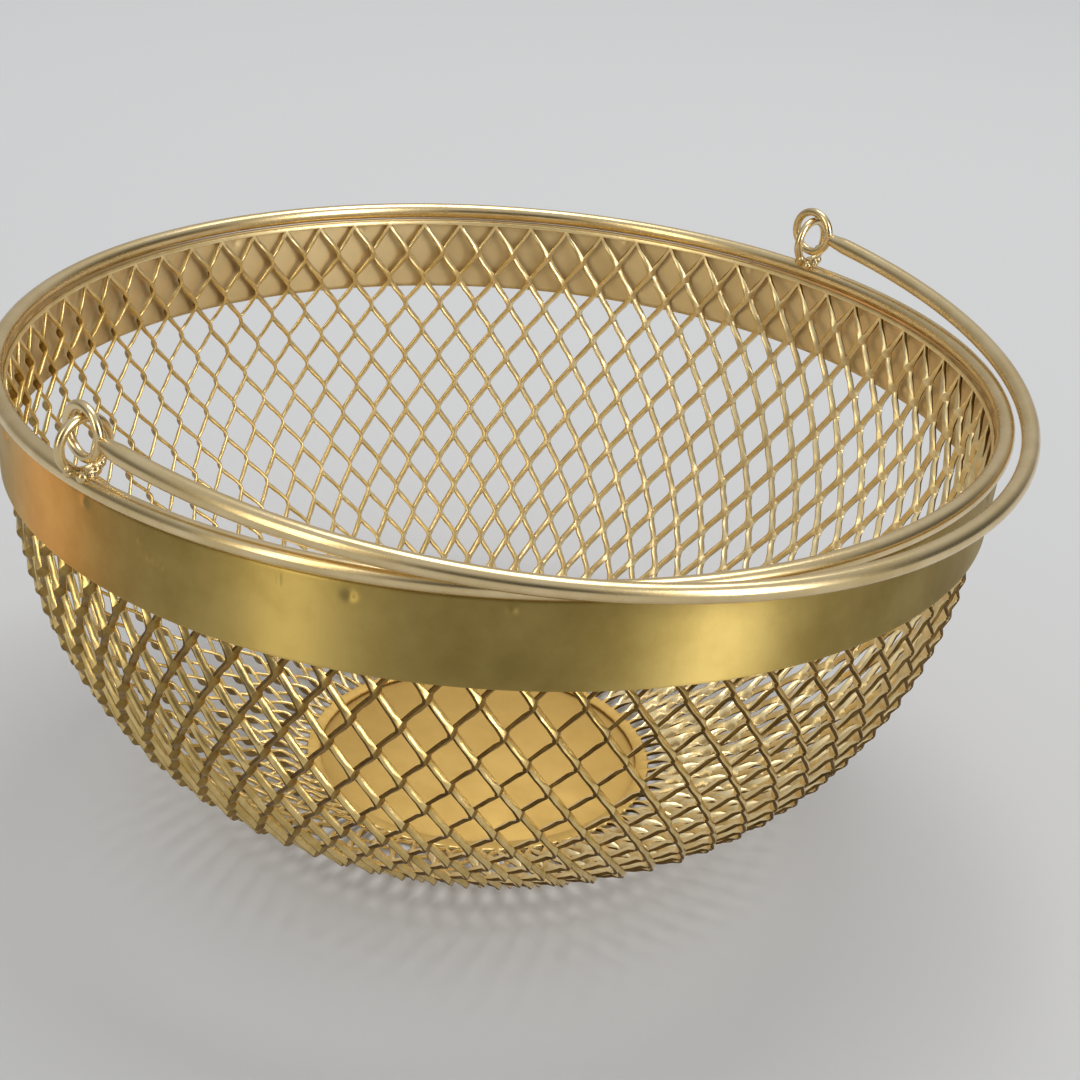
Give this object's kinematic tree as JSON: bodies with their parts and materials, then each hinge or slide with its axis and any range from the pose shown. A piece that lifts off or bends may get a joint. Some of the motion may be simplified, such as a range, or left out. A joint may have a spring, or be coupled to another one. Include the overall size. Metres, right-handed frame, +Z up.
{
  "type": "wire gift basket",
  "caption": "Round gift basket of expanded metal mesh with a plain band and wire round its mouth, a flat base plate and a hinged wire handle.",
  "frame": {"origin": "middle of the base plate's underside, on the bowl's axis", "axes": "+Z up through the bowl's mouth, X along the handle's pivot line, the handle folded towards -Y"},
  "size_m": [0.264, 0.2624, 0.1373],
  "materials": {
    "mesh": "satin gold, lacquered",
    "plate": "satin gold, lacquered",
    "band": "satin gold, lacquered, softly reflecting",
    "wire": "satin gold, lacquered"
  },
  "bodies": {
    "basket": {"mesh_bowl": "mesh", "base_plate": "plate", "rim_band": "band", "rim_wire": "wire", "ear_left": "wire", "ear_right": "wire"},
    "handle": {"bail_rod": "wire", "bail_eye_left": "wire", "bail_eye_right": "wire"}
  },
  "joints": [
    {"name": "handle_swing", "type": "hinge", "parent": "basket", "child": "handle", "pos_m": [0, 0, 0.1303], "axis": [-1, 0, 0], "range_deg": [0, 190.1]}
  ]
}
